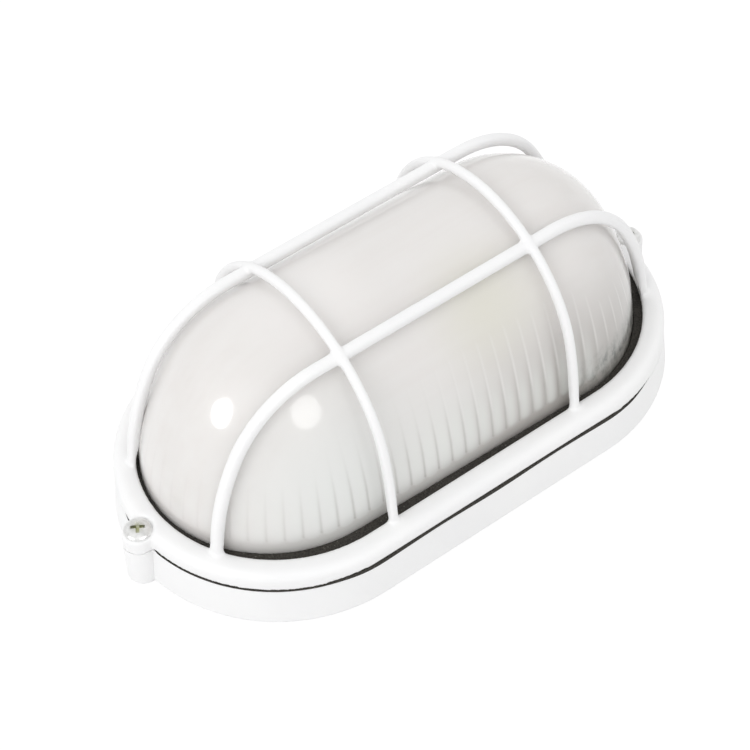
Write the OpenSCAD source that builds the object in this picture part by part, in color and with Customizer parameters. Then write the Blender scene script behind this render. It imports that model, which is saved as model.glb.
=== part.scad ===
// Oval bulkhead light for a sauna: a shallow cast base, a ribbed glass dome
// and a cast guard with four bars, held by two screws on the long axis.
// The long axis is X, the light stands out along +Z from the wall at z = 0.

/* [Rim and base] */
// Length of the oval rim without its screw lugs
rim_len = 200; // [190:1:220]
// Width of the oval rim
rim_w = 108.3; // [106:0.1:114]
// Height of the base wall
base_h = 15.5; // [15:0.5:20]
// How far the foot of the base stands out past the rim
base_flare = 1.2; // [0:0.2:2.4]
// Chamfer at the foot of the base
base_edge = 1.2; // [0.4:0.2:2]
// Thickness of the upper base wall and of the skirt of the rim
wall_t = 3; // [2.4:0.2:3.6]
// Thickness of the floor
floor_t = 2.8; // [2:0.2:3.6]
// Depth of the hollow behind the floor
back_recess = 2; // [1.4:0.2:2.6]
// Width of the shelf that carries the seal
shelf_w = 4.15; // [3:0.05:5]
// Depth of the shelf under the top of the base wall
shelf_drop = 2.9; // [2:0.1:4]
// Width of the cored channel in the back of the wall
core_w = 2.4; // [1.6:0.2:3]
// Thickness of the shelf over the cored channel
core_roof = 3.4; // [2.4:0.2:5]

/* [Guard] */
// Height of the rim over the base wall
rim_h = 7.3; // [6.4:0.1:9]
// Width of the rim seen from the front
rim_band = 7.5; // [6:0.05:8]
// Radius of the outer edge of the rim
rim_round = 3.6; // [1.5:0.1:4]
// Thickness of the rim lip over the seal
lip_t = 2; // [1.4:0.1:2.6]
// Gap between rim and base in the middle of the long sides
gap_mid = 1.1; // [0.5:0.1:1.6]
// Gap between rim and base at the screws
gap_end = 0.3; // [0.2:0.05:0.5]
// How far the gasket in this gap lies behind the face of the rim
gasket_in = 0.3; // [0.2:0.1:1]
// Height of the guard over the wall
guard_top = 87; // [84:0.5:93]
// Width of a cross bar
cross_bar_w = 3.2; // [2.8:0.1:4.2]
// Thickness of a cross bar
cross_bar_h = 3.3; // [2.8:0.1:4.2]
// Width of a long bar
long_bar_w = 4.1; // [3.4:0.1:4.6]
// Thickness of a long bar
long_bar_h = 4.1; // [3.4:0.1:4.4]
// Radius that rounds the section of a bar, in parts of half its thickness
bar_round = 1.2; // [1.16:0.01:1.3]
// Distance of the cross bars from the middle
bar_x = 36.9; // [28:0.1:42]
// Distance of the long bars from the middle
bar_y = 23; // [18:0.5:26]
// Radius of the cross bars at the sides
cross_side_r = 145; // [120:1:160]
// Radius of the long bars at the ends
long_side_r = 85; // [80:1:110]
// Radius of the long bars at their upper bends
long_bend_r = 35; // [26:1:36]
// How far the long bars lie lower than the cross bars where they meet
long_drop = 1.2; // [0:0.1:1.4]
// How far the feet of the cross bars stand out past the window edge
cross_foot = 0.65; // [0:0.05:1]
// How far the feet of the long bars stand out past the window edge
long_foot = 0.35; // [0:0.05:0.8]

/* [Glass and seal] */
// Thickness of the glass
glass_t = 3; // [2.2:0.1:3.6]
// Gap between the glass and the cross bars at the sides
glass_side_gap = 2.45; // [2.3:0.05:3.4]
// Gap between the glass and the cross bars at the top
glass_top_gap = 2.5; // [2.3:0.1:3.2]
// Radius of the glass at the sides
glass_side_r = 94; // [86:1:96]
// Turn of the glass in its seat
glass_turn = -1.2; // [-1.2:0.2:1.2]
// Offset of the glass in its seat, along the long axis
glass_shift = -0.4; // [-0.4:0.1:0.4]
// Distance between the ribs inside the glass
rib_pitch = 5.3; // [5:0.1:9]
// Width of a rib
rib_w = 4.2; // [2:0.1:4.4]
// Depth of a rib at its foot
rib_d = 1; // [0.6:0.1:1.4]
// Height of the ribs
rib_h = 34; // [22:1:36]
// Thickness of the seal over and under the flange of the glass
seal_t = 1.8; // [1:0.1:2.2]
// Thickness of the seal round the edge of the flange
seal_web = 1.1; // [0.8:0.1:1.6]
// Room round the seal, in which the glass can turn
seal_slack = 1.8; // [1.4:0.1:2.4]
// Gap between the seal and its shelf
seal_gap = 0.3; // [0.2:0.05:0.5]

/* [Cover screws] */
// Distance of a screw from the end of the rim
screw_out = 1.1; // [0.5:0.1:2]
// Radius of the screw shank
screw_r = 2.45; // [1.9:0.05:2.6]
// Running clearance round the shank
screw_clear = 0.05; // [0.02:0.01:0.1]
// Radius of the screw head
head_r = 4.6; // [4:0.1:4.8]
// Height of the screw head
head_h = 2.7; // [2:0.1:3.2]
// Length of the shank under the head
screw_len = 14.2; // [12.5:0.1:15]
// Width of the lug edge round the screw head
lug_edge = 0.85; // [0.7:0.05:1.5]
// Depth of the screw seat in the lug
seat_drop = 1; // [0.4:0.1:1.4]

/* [Lampholder] */
// Height of the lamp axis over the wall
lamp_z = 42; // [40:0.5:45]
// Distance between the holder and the foot of the glass
holder_gap = 14.05; // [11:0.05:18]
// Outer radius of the holder
holder_r = 19.5; // [17.5:0.5:21]
// Length of the wide front of the holder
holder_front = 20; // [18:1:22]
// Length of the narrow rear of the holder
holder_rear = 14; // [12:1:15]
// Radius of the narrow rear of the holder
rear_r = 16; // [15:0.5:17]
// Length of the solid rear behind the lamp bore
holder_web = 9; // [8.5:0.5:10]
// Inner radius of the threaded shell
shell_r = 13.3; // [13.2:0.05:13.5]
// Thickness of the shell
shell_t = 0.6; // [0.4:0.1:0.8]
// Length of the shell
shell_len = 18.5; // [16:0.5:18.5]
// Thickness of the bracket sheet
sheet_t = 1.5; // [1:0.1:2]
// Width of the bracket
bracket_w = 26; // [24:1:32]
// Length of the bracket foot
foot_len = 13; // [12:0.5:14]

/* [Wiring and wall fixing] */
// Distance of a wall fixing past the centre of the round end
fix_out = 14.15; // [8:0.05:20]
// Distance of a wall fixing from the long axis
fix_y = 28; // [24:1:30]
// Radius of a wall fixing hole
fix_r = 2.6; // [2.1:0.1:3]
// Distance of the cable entry past the centre of the round end
entry_out = 24.15; // [20:0.05:28]
// Radius of the cable entry in the floor
entry_r = 8; // [6:0.5:9]
// Radius of the cable hole in the grommet
cable_r = 4.5; // [3:0.1:4.8]
// Length of the terminal block
block_len = 22; // [20:1:28]
// Width of the terminal block
block_w = 14.4; // [14:0.2:16]
// Height of the terminal block
block_h = 12; // [11:0.5:12.5]
// Radius of a lead
lead_r = 1.2; // [0.8:0.1:1.3]

/* [Hidden] */

// Facets of the oval, of the wide arcs, and of round holes and small turned pieces
oval_fn = 60;
arc_fn = 72;
round_fn = 20;
// Depth by which a cut runs past its face
past = 1;
// Each piece of a bar enters the next one and is thinner by this all round
step = 0.04;

// Plan of the oval: two half circles of rim_r round centres at x = -half_a, half_a
rim_r = rim_w / 2;
half_a = (rim_len - rim_w) / 2;
window_r = rim_r - rim_band;
pocket_r = rim_r - wall_t;
cavity_r = pocket_r - shelf_w;

// Levels over the wall
floor_z = back_recess + floor_t;
shelf_z = base_h - shelf_drop;
rim_top = base_h + rim_h;
lip_z = rim_top - lip_t;
seal_z = shelf_z + seal_gap;
flange_z = seal_z + seal_t;
flange_top = lip_z - seal_t;
arc_z = rim_top - 3.4;
rib_z = rim_top + 2.2;

// Radius of the crown arc that meets a side arc of radius side without a kink,
// for an arch of half width w and height h
function crown_r(w, h, side) =
  (side * side - (side - w) * (side - w) - h * h) / (2 * (side - h));

// Centre lines of the bars
cross_w = window_r + cross_foot;
cross_h = guard_top - cross_bar_h / 2 - arc_z;
cross_r = crown_r(cross_w, cross_h, cross_side_r);
long_w = half_a + sqrt(window_r * window_r - bar_y * bar_y) + long_foot;
long_h = cross_h - cross_r + sqrt(cross_r * cross_r - bar_y * bar_y) - long_drop;

// Dome of the glass, inside the cross bars by the two gaps
dome_w = cross_w - cross_bar_h / 2 - glass_side_gap;
dome_h = cross_h - cross_bar_h / 2 - glass_top_gap;
dome_r = glass_side_r;
seal_in = dome_w + 0.15;
seal_out = pocket_r - seal_slack;
flange_r = seal_out - seal_web - 0.05;

// Screws on the long axis
screw_x = rim_len / 2 + screw_out;
lug_r = head_r + lug_edge;
lug_top = rim_top - 1.6;
lug_chamfer = 0.8;
head_z = lug_top - seat_drop;
bore_r = screw_r + screw_clear;
bore_z = head_z - screw_len - 1.5;
boss_z = 1.5;

// Lampholder along X
holder_end = half_a + dome_w - glass_t - holder_gap;
mouth_x = holder_end - holder_rear - holder_front;
socket_depth = holder_front + holder_rear - holder_web;
shell_out = shell_r + shell_t;
socket_r = shell_out + 0.2;
shell_in = 1.5;
holder_edge = 1;
bracket_z = floor_z + 2.7;
bracket_top = lamp_z + 8;
bracket_hole = 5;
foot_screw_x = holder_end + sheet_t + foot_len / 2;
foot_screw_y = 8;
holder_screw_y = 7.5;
holder_screw_len = 7;
term_w = 5.5;
term_len = 6.5;
term_h = 6.4;
term_x = holder_end - 1 - term_len;
term_y = rear_r - term_w;

// Radii of the small screws, radii and heights of their heads, and their clearances
m3 = 1.5;
m3_head = 2.8;
m3_rise = 2;
m4 = 2;
m4_head = 3.6;
m4_rise = 2.2;
clamp_r = 1.3;
clamp_head = 2.6;
clamp_rise = 1.6;
block_head = 2.7;
block_rise = 1.8;
head_gap = 0.2;
thread_gap = 0.05;
tip_gap = 0.5;

// Terminal block on the floor beside the lamp
block_x = -27;
block_y = -(dome_w - glass_t - 1.3);
block_end = block_x + block_len;
block_mid_x = block_x + block_len / 2;
block_mid_y = block_y + block_w / 2;
pole_rise = 5.4;
pole_z = floor_z + pole_rise;
pole_out = block_w / 2 - 3;
pole_y = [block_mid_y - pole_out, block_mid_y + pole_out];
clamp_x = [block_mid_x - block_len * 0.3, block_mid_x + block_len * 0.3];
insert_r = 2.2;
insert_in = 1.6;
insert_back = 1.5;
screw_sink = 3;

// Earth terminal on its own boss
earth_x = -45;
earth_y = 26;
earth_z = floor_z + 3.5;
washer_t = 1;

// Routes of the two leads from the holder terminals to the block
term_mid = term_x + term_len / 2;
lead_y = term_y + term_w / 2;
run_z = floor_z + 3.2;
live_route = [[term_mid, -lead_y, lamp_z - 1], [term_mid, -lead_y, 30],
  [term_mid, -lead_y, 18], [term_mid - 1.5, -lead_y - 1.5, 12], [60, -19, run_z + 0.5],
  [50, -25, run_z], [36, -31, run_z], [20, pole_y[0], run_z + 1], [6, pole_y[0], pole_z],
  [block_end, pole_y[0], pole_z], [block_end - 5, pole_y[0], pole_z]];
neutral_route = [[term_mid, lead_y, lamp_z - 1], [term_mid, lead_y, 30],
  [term_mid, lead_y, 18], [term_mid - 1.5, lead_y - 1.5, 12], [58, 5, run_z + 0.5],
  [46, -8, run_z], [32, -18, run_z], [18, pole_y[1] + 2, run_z + 1], [6, pole_y[1], pole_z],
  [block_end, pole_y[1], pole_z], [block_end - 5, pole_y[1], pole_z]];

// Solid of an oval plan: the half section in children() runs along both sides
// and turns round both ends
module oval_sweep() {
  rotate([90, 0, 90]) translate([0, 0, -half_a]) linear_extrude(2 * half_a) {
    children();
    mirror([1, 0]) children();
  }
  for (s = [-1, 1])
    translate([s * half_a, 0, 0]) rotate([0, 0, -s * 90])
      rotate_extrude(angle = 180, $fn = oval_fn) children();
}

// Oval prism of end radius r between two levels
module oval_prism(r, z0, z1) {
  translate([0, 0, z0]) linear_extrude(z1 - z0) {
    for (s = [-1, 1]) translate([s * half_a, 0]) circle(r = r, $fn = oval_fn);
    square([2 * half_a, 2 * r], center = true);
  }
}

// Half section of an arch made of a side arc and a crown arc
module half_arch(w, h, side) {
  r = crown_r(w, h, side);
  join_z = (h - r) * side / (side - r);
  intersection() {
    translate([w - side, 0]) circle(r = side, $fn = arc_fn);
    square([w, join_z]);
  }
  intersection() {
    translate([0, h - r]) circle(r = r, $fn = arc_fn);
    translate([0, join_z]) square([w, h]);
  }
}

// Round hole or boss along Z
module rod(r, z0, z1) {
  translate([0, 0, z0]) cylinder(h = z1 - z0, r = r, $fn = round_fn);
}

// Cheese head screw with a straight slot, its seat at z = 0
module slot_screw(r, len, head, rise) {
  difference() {
    union() {
      rod(r, -len, rise / 2);
      rod(head, 0, rise);
    }
    translate([0, 0, rise]) cube([2 * head + past, head * 0.28, rise * 0.9], center = true);
  }
}

// Pan head screw with a cross recess, its seat at z = 0
module pan_screw(r, len, head, rise) {
  tip = 0.6;
  difference() {
    rotate_extrude($fn = round_fn) polygon([[0, -len], [r - tip, -len], [r, tip - len], [r, 0],
      [head, 0], [head, rise * 0.45], [head * 0.86, rise * 0.8], [head * 0.55, rise],
      [0, rise]]);
    for (a = [20, 110]) rotate([0, 0, a]) translate([0, 0, rise * 0.75])
      cube([head * 1.15, head * 0.24, rise], center = true);
  }
}

// Section of the base without its hollows
module base_section() {
  foot = rim_r + base_flare;
  polygon([[0, 0], [foot - base_edge, 0], [foot, base_edge], [rim_r, base_h], [0, base_h]]);
}

module base() {
  pad_drop = 1.6;
  color("whitesmoke") difference() {
    union() {
      difference() {
        union() {
          oval_sweep() base_section();
          for (s = [-1, 1]) translate([s * screw_x, 0, 0]) rod(lug_r, boss_z, base_h);
        }
        oval_prism(pocket_r, shelf_z, base_h + past);
        oval_prism(cavity_r, floor_z, base_h + past);
        oval_prism(cavity_r - 1, -past, back_recess);
        difference() {
          oval_prism(pocket_r, -past, shelf_z - core_roof);
          oval_prism(pocket_r - core_w, -2 * past, base_h);
        }
      }
      for (s = [-1, 1]) {
        translate([s * (half_a + fix_out), s * fix_y, 0]) rod(fix_r + 4, 0, floor_z);
        translate([foot_screw_x, s * foot_screw_y, 0]) rod(m4 + 2.2, back_recess, bracket_z);
      }
      translate([earth_x, earth_y, 0]) rod(m4 + 3, back_recess, earth_z);
      translate([block_mid_x, block_mid_y, 0]) rod(m3 + 2.5, back_recess - pad_drop, floor_z);
    }
    for (s = [-1, 1]) {
      translate([s * screw_x, 0, 0]) rod(bore_r, bore_z, base_h + past);
      translate([s * (half_a + fix_out), s * fix_y, 0]) rod(fix_r, -past, floor_z + past);
      translate([foot_screw_x, s * foot_screw_y, 0])
        rod(m4, back_recess + 1, bracket_z + past);
    }
    translate([-half_a - entry_out, 0, 0]) rod(entry_r, -past, floor_z + past);
    translate([earth_x, earth_y, 0]) rod(m4, back_recess + 1, earth_z + past);
    translate([block_mid_x, block_mid_y, 0]) rod(m3, back_recess - 0.6, floor_z + past);
  }
}

// Half section of the rim of the guard: skirt, rounded edge and lip
module rim_section() {
  edge_r = rim_r - rim_round;
  edge_z = rim_top - rim_round;
  translate([window_r, lip_z]) square([edge_r - window_r, lip_t]);
  translate([pocket_r, base_h]) square([wall_t, edge_z - base_h]);
  intersection() {
    translate([edge_r, edge_z]) circle(r = rim_round, $fn = round_fn);
    translate([edge_r, edge_z]) square(rim_round);
  }
}

// Section of a bar, thickness h along X and width w along Y, smaller by less all round
module bar_section(w, h, less = 0) {
  intersection() {
    square([h - 2 * less, w - 2 * less], center = true);
    circle(r = bar_round * h / 2 - less, $fn = round_fn);
  }
}

// Piece along an arc from angle a0 to a1 of the section in children()
module bar_arc(r, a0, a1) {
  rotate([0, 0, a0]) rotate_extrude(angle = a1 - a0, $fn = arc_fn)
    translate([r, 0]) children();
}

// Cross bar in the YZ plane
module cross_bar() {
  turn = atan2(cross_h - cross_r, cross_side_r - cross_w);
  rotate([90, 0, 90]) translate([0, arc_z]) {
    translate([0, cross_h - cross_r]) bar_arc(cross_r, turn, 180 - turn)
      bar_section(cross_bar_w, cross_bar_h);
    for (m = [0, 1]) mirror([m, 0])
      translate([cross_w - cross_side_r, 0]) bar_arc(cross_side_r, 0, turn + 0.5)
        bar_section(cross_bar_w, cross_bar_h, step);
  }
}

// Long bar in the XZ plane
module long_bar() {
  side_x = long_w - long_side_r;
  rise = long_h - long_bend_r;
  bend_x = side_x + sqrt(pow(long_side_r - long_bend_r, 2) - rise * rise);
  turn = atan2(rise, bend_x - side_x);
  translate([-bend_x, 0, arc_z + long_h]) rotate([90, 0, 90]) linear_extrude(2 * bend_x)
    rotate([0, 0, 90]) bar_section(long_bar_w, long_bar_h);
  rotate([90, 0, 0]) translate([0, arc_z])
    for (m = [0, 1]) mirror([m, 0]) {
      translate([bend_x, rise]) bar_arc(long_bend_r, turn, 91)
        bar_section(long_bar_w, long_bar_h, step);
      translate([side_x, 0]) bar_arc(long_side_r, 0, turn + 0.6)
        bar_section(long_bar_w, long_bar_h, 2 * step);
    }
}

// Space under the rim, lower by less: its roof rises from the screws to the middle
module rim_arch(less = 0) {
  reach = screw_x + lug_r + past;
  under = [for (i = [-6:6]) let (t = i / 6)
    [t * reach, base_h + gap_mid - (gap_mid - gap_end) * t * t - less]];
  rotate([90, 0, 0]) linear_extrude(rim_w + 4 * past, center = true)
    polygon(concat([[-reach, base_h - past]], under, [[reach, base_h - past]]));
}

// Flat foam strip on the base wall, pressed thin at the screws by the rim
module base_gasket() {
  gasket_gap = 0.05;
  color([0.16, 0.16, 0.16]) difference() {
    intersection() {
      oval_prism(rim_r - gasket_in, base_h, rim_top);
      rim_arch(gasket_gap);
    }
    oval_prism(pocket_r + gasket_in, base_h - past, rim_top);
    for (s = [-1, 1]) translate([s * screw_x, 0, 0])
      rod(bore_r + gasket_in, base_h - past, rim_top);
  }
}

// Lug of the guard, on the axis of a screw
module guard_lug() {
  rod(lug_r, base_h, lug_top - lug_chamfer);
  translate([0, 0, lug_top - lug_chamfer])
    cylinder(h = lug_chamfer, r1 = lug_r, r2 = lug_r - lug_chamfer, $fn = round_fn);
}

module guard() {
  seat_gap = 0.4;
  color("white") difference() {
    union() {
      oval_sweep() rim_section();
      for (s = [-1, 1]) {
        translate([s * screw_x, 0, 0]) guard_lug();
        translate([s * bar_x, 0, 0]) cross_bar();
        translate([0, s * bar_y, 0]) long_bar();
      }
    }
    oval_prism(pocket_r, base_h - past, lip_z);
    rim_arch();
    for (s = [-1, 1]) translate([s * screw_x, 0, 0]) {
      rod(bore_r, base_h - past, rim_top);
      rod(head_r + seat_gap, head_z, rim_top + past);
    }
  }
}

// Half section of the dome, set in by inset
module dome_section(inset) {
  translate([0, arc_z]) half_arch(dome_w - inset, dome_h - inset, dome_r - inset);
  translate([0, flange_z - inset]) square([dome_w - inset, arc_z - flange_z + inset]);
}

// Half section of one rib: full depth at its foot, thinning along a shifted copy
// of the wall's own arc, and cut off at rib_h a little before the two arcs cross
module rib_section() {
  w = dome_w - glass_t;
  r = dome_r - glass_t;
  cross_z = rib_h + 6;
  shift = rib_d * sqrt(r * r - cross_z * cross_z) / cross_z;
  reach = rib_h * 0.4;
  intersection() {
    translate([w - reach, rib_z]) square([reach + glass_t, arc_z + rib_h - rib_z]);
    difference() {
      translate([w - r, arc_z]) circle(r = r + glass_t / 4, $fn = arc_fn);
      translate([w - r - rib_d, arc_z + shift]) circle(r = r, $fn = arc_fn);
    }
  }
}

// Ribs all round the inside of the glass
module ribs() {
  wall_r = dome_w - glass_t;
  side_count = floor(2 * half_a / rib_pitch);
  side_pitch = 2 * half_a / side_count;
  end_count = round(PI * wall_r / rib_pitch);
  rib_angle = rib_w / wall_r * 180 / PI;
  for (i = [0:side_count - 1])
    translate([(i - (side_count - 1) / 2) * side_pitch - rib_w / 2, 0, 0])
      rotate([90, 0, 90]) linear_extrude(rib_w) {
        rib_section();
        mirror([1, 0]) rib_section();
      }
  for (s = [-1, 1], i = [0:end_count - 1])
    translate([s * half_a, 0, 0])
      rotate([0, 0, -s * 90 + (i + 0.5) * 180 / end_count - rib_angle / 2])
        rotate_extrude(angle = rib_angle, $fn = arc_fn) rib_section();
}

module glass() {
  color([0.86, 0.88, 0.86, 0.6]) translate([glass_shift, 0, 0]) rotate([0, 0, glass_turn]) {
    difference() {
      oval_sweep() {
        dome_section(0);
        translate([0, flange_z]) square([flange_r, flange_top - flange_z]);
      }
      oval_sweep() dome_section(glass_t);
    }
    ribs();
  }
}

// Foam strip folded round the edge of the flange
module seal() {
  color([0.16, 0.16, 0.16]) translate([glass_shift, 0, 0]) rotate([0, 0, glass_turn])
    oval_sweep() difference() {
      translate([seal_in, seal_z]) square([seal_out - seal_in, lip_z - seal_z]);
      translate([0, flange_z]) square([seal_out - seal_web, flange_top - flange_z]);
    }
}

module cover_screw(side) {
  color("silver") translate([side * screw_x, 0, head_z])
    pan_screw(screw_r, screw_len, head_r, head_h);
}

module cover_screw_left() {
  cover_screw(-1);
}

module cover_screw_right() {
  cover_screw(1);
}

// Rubber bush of the cable entry, with a thin skin that the cable pierces
module cable_grommet() {
  lip = 2;
  skin = 0.8;
  low = 0.6;
  color([0.2, 0.2, 0.2]) translate([-half_a - entry_out, 0, 0])
    rotate_extrude($fn = round_fn) polygon([[0, floor_z], [0, floor_z + skin],
      [cable_r, floor_z + skin], [cable_r + 0.5, floor_z + lip], [entry_r + 1, floor_z + lip],
      [entry_r + lip, floor_z], [entry_r - 0.1, floor_z], [entry_r - 0.1, back_recess],
      [entry_r + lip, back_recess], [entry_r + 1, low], [cable_r, low], [cable_r, floor_z]]);
}

// Places a child with its Z along the lamp axis, from the mouth to the rear
module along_lamp() {
  translate([mouth_x, 0, lamp_z]) rotate([0, 90, 0]) children();
}

module holder_body() {
  len = holder_front + holder_rear;
  color("ivory") difference() {
    along_lamp() rotate_extrude($fn = arc_fn) polygon([[socket_r, 0],
      [holder_r - holder_edge, 0], [holder_r, holder_edge],
      [holder_r, holder_front - holder_edge], [holder_r - holder_edge, holder_front],
      [rear_r, holder_front], [rear_r, len], [0, len], [0, socket_depth],
      [socket_r, socket_depth]]);
    for (s = [-1, 1]) {
      translate([holder_end, s * holder_screw_y, lamp_z]) rotate([0, 90, 0])
        rod(m3, -holder_screw_len - tip_gap, past);
      translate([term_x, s > 0 ? term_y : -rear_r - past, lamp_z - term_h / 2])
        cube([term_len, term_w + past, term_h]);
      translate([term_mid, s * lead_y, lamp_z]) rod(lead_r + 0.3, -rear_r, 0);
    }
  }
}

module holder_shell() {
  color("gold") along_lamp() rotate_extrude($fn = arc_fn)
    translate([shell_r, shell_in]) square([shell_t, shell_len]);
}

// Bent spring tongue at the bottom of the lamp bore
module centre_contact() {
  t = 0.7;
  w = 6;
  color("gold") translate([mouth_x + socket_depth, w / 2, lamp_z]) rotate([90, 0, 0])
    linear_extrude(w) polygon([[0, -7.5], [0, -3], [-3.5, 1.5], [-3.5, 5], [-3.5 - t, 5],
      [-3.5 - t, 1.2], [-t, -3.4], [-t, -7.5]]);
}

module holder_terminals() {
  color("gold") for (s = [-1, 1]) difference() {
    translate([term_x, s > 0 ? term_y : -rear_r, lamp_z - term_h / 2])
      cube([term_len, term_w, term_h]);
    translate([term_mid, s * lead_y, lamp_z]) {
      rod(lead_r + 0.15, -term_h, term_h);
      rotate([-s * 90, 0, 0]) rod(clamp_r, 0, term_w);
    }
  }
}

module holder_terminal_screws() {
  color("silver") for (s = [-1, 1])
    translate([term_mid, s * rear_r, lamp_z]) rotate([-s * 90, 0, 0])
      slot_screw(clamp_r - thread_gap, term_w / 2 - lead_r - 0.1, clamp_head, clamp_rise);
}

module holder_bracket() {
  color("lightgray") difference() {
    translate([holder_end, -bracket_w / 2, bracket_z]) {
      cube([sheet_t, bracket_w, bracket_top - bracket_z]);
      cube([sheet_t + foot_len, bracket_w, sheet_t]);
    }
    for (s = [-1, 1]) {
      translate([holder_end, s * holder_screw_y, lamp_z]) rotate([0, 90, 0])
        rod(m3 + 0.15, -past, sheet_t + past);
      translate([foot_screw_x, s * foot_screw_y, bracket_z])
        rod(m4 + 0.2, -past, sheet_t + past);
    }
    translate([holder_end, 0, (bracket_z + lamp_z) / 2]) rotate([0, 90, 0])
      rod(bracket_hole, -past, sheet_t + past);
  }
}

module holder_screws() {
  color("silver") for (s = [-1, 1])
    translate([holder_end + sheet_t, s * holder_screw_y, lamp_z]) rotate([0, 90, 0])
      slot_screw(m3 - thread_gap, holder_screw_len + sheet_t, m3_head, m3_rise);
}

module bracket_screws() {
  len = bracket_z + sheet_t - back_recess - 1 - tip_gap;
  color("silver") for (s = [-1, 1])
    translate([foot_screw_x, s * foot_screw_y, bracket_z + sheet_t])
      slot_screw(m4 - thread_gap, len, m4_head, m4_rise);
}

module terminal_block() {
  color("ivory") difference() {
    translate([block_x, block_y, floor_z]) cube([block_len, block_w, block_h]);
    for (y = pole_y) {
      translate([block_x, y, pole_z]) rotate([0, 90, 0])
        rod(insert_r, -past, block_len + past);
      for (x = clamp_x) translate([x, y, pole_z]) rod(m3 + 0.8, 0, block_h);
    }
    translate([block_mid_x, block_mid_y, floor_z]) {
      rod(m3 + 0.1, -past, block_h + past);
      rod(block_head + head_gap, block_h - screw_sink, block_h + past);
    }
  }
}

module block_inserts() {
  color("gold") for (y = pole_y) difference() {
    translate([block_x, y, pole_z]) rotate([0, 90, 0]) difference() {
      rod(insert_r - thread_gap, insert_back, block_len - insert_back);
      rod(insert_in, 0, block_len);
    }
    for (x = clamp_x) translate([x, y, pole_z]) rod(clamp_r, 0, block_h);
  }
}

module block_terminal_screws() {
  color("silver") for (y = pole_y, x = clamp_x) translate([x, y, 0])
    rod(clamp_r - thread_gap, pole_z + lead_r + 0.1, floor_z + block_h - 1.5);
}

module block_screw() {
  color("silver") translate([block_mid_x, block_mid_y, floor_z + block_h - screw_sink])
    slot_screw(m3 - thread_gap, block_h - screw_sink + floor_t, block_head, block_rise);
}

module earth_washer() {
  color("gold") translate([earth_x, earth_y, earth_z]) difference() {
    rod(m4 + 2.6, 0, washer_t);
    rod(m4 + 0.2, -past, washer_t + past);
  }
}

module earth_screw() {
  len = earth_z + washer_t - back_recess - 1 - tip_gap;
  color("silver") translate([earth_x, earth_y, earth_z + washer_t])
    slot_screw(m4 - thread_gap, len, m4_head, m4_rise);
}

// Round lead through the points of a route
module lead(route) {
  n = len(route);
  sides = 8;
  way = [for (i = [0:n - 1]) let (d = route[min(i + 1, n - 1)] - route[max(i - 1, 0)])
    d / norm(d)];
  ring = [for (i = [0:n - 1]) let (c = cross(way[i], [0.02, 1, 0.05]), u = c / norm(c),
      v = cross(way[i], u)) for (k = [0:sides - 1]) let (a = k * 360 / sides)
    route[i] + lead_r * (cos(a) * u + sin(a) * v)];
  skin = [for (i = [0:n - 2], k = [0:sides - 1]) let (a = i * sides + k,
      b = i * sides + (k + 1) % sides) each [[b, a, a + sides], [b, a + sides, b + sides]]];
  first = [for (k = [0:sides - 1]) k];
  last = [for (k = [sides - 1:-1:0]) (n - 1) * sides + k];
  color("ivory") polyhedron(points = ring, faces = concat([first], skin, [last]));
}

module live_lead() {
  lead(live_route);
}

module neutral_lead() {
  lead(neutral_route);
}

base();
base_gasket();
guard();
glass();
seal();
cover_screw_left();
cover_screw_right();
cable_grommet();
holder_body();
holder_shell();
centre_contact();
holder_terminals();
holder_terminal_screws();
holder_bracket();
holder_screws();
bracket_screws();
terminal_block();
block_inserts();
block_terminal_screws();
block_screw();
earth_washer();
earth_screw();
live_lead();
neutral_lead();
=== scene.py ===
from math import atan2, copysign, cos, degrees, hypot, pi, radians, sin, sqrt
import bmesh
import bpy
from mathutils import Matrix, Quaternion, Vector, noise


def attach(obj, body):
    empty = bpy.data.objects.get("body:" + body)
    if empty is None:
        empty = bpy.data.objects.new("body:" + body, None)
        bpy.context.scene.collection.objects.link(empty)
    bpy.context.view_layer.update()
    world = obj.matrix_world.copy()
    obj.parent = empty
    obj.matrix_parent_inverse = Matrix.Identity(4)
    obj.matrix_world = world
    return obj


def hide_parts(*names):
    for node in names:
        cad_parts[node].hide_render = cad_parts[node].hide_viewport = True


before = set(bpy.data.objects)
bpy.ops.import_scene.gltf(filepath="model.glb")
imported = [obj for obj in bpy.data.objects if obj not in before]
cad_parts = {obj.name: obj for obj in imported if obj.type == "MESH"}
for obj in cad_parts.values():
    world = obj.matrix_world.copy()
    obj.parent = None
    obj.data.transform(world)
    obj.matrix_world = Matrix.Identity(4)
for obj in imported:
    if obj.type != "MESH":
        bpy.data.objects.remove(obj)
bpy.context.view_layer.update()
print("frame loaded with", len(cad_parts), "nodes")

# Pieces are shaped in millimetres, and keep() turns the finished mesh into metres.
plan = {
    "halfA": 45.85,  # half the straight part of the oval
    "rimR": 54.15, "windowR": 46.65, "pocketR": 51.15,
    "baseH": 15.5, "rimTop": 22.8, "lipZ": 20.8, "arcZ": 19.4,
    "screwX": 101.1, "lugTop": 21.35,
    "lampZ": 42,
}

# The camera stands where the photo was taken from; angles in degrees, places in metres.
photoView = {
    "azimuth": -35.53, "elevation": 48.89, "roll": -2.56,
    "distance": 0.8474, "across": 0.0068, "rise": -0.0146,
    "lens": 121.8,
}


def addCamera(view):
    data = bpy.data.cameras.new("photoCamera")
    data.sensor_width, data.lens = 36, view["lens"]
    data.clip_start, data.clip_end = 0.01, 20
    camera = bpy.data.objects.new("photoCamera", data)
    bpy.context.scene.collection.objects.link(camera)
    a, e = radians(view["azimuth"]), radians(view["elevation"])
    back = Vector((sin(a) * cos(e), -cos(a) * cos(e), sin(e)))
    turn = back.to_track_quat("Z", "Y") @ Quaternion((0, 0, 1), radians(view["roll"]))
    camera.rotation_mode = "QUATERNION"
    camera.rotation_quaternion = turn
    camera.location = turn @ Vector((-view["across"], -view["rise"], view["distance"]))
    bpy.context.scene.camera = camera


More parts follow.
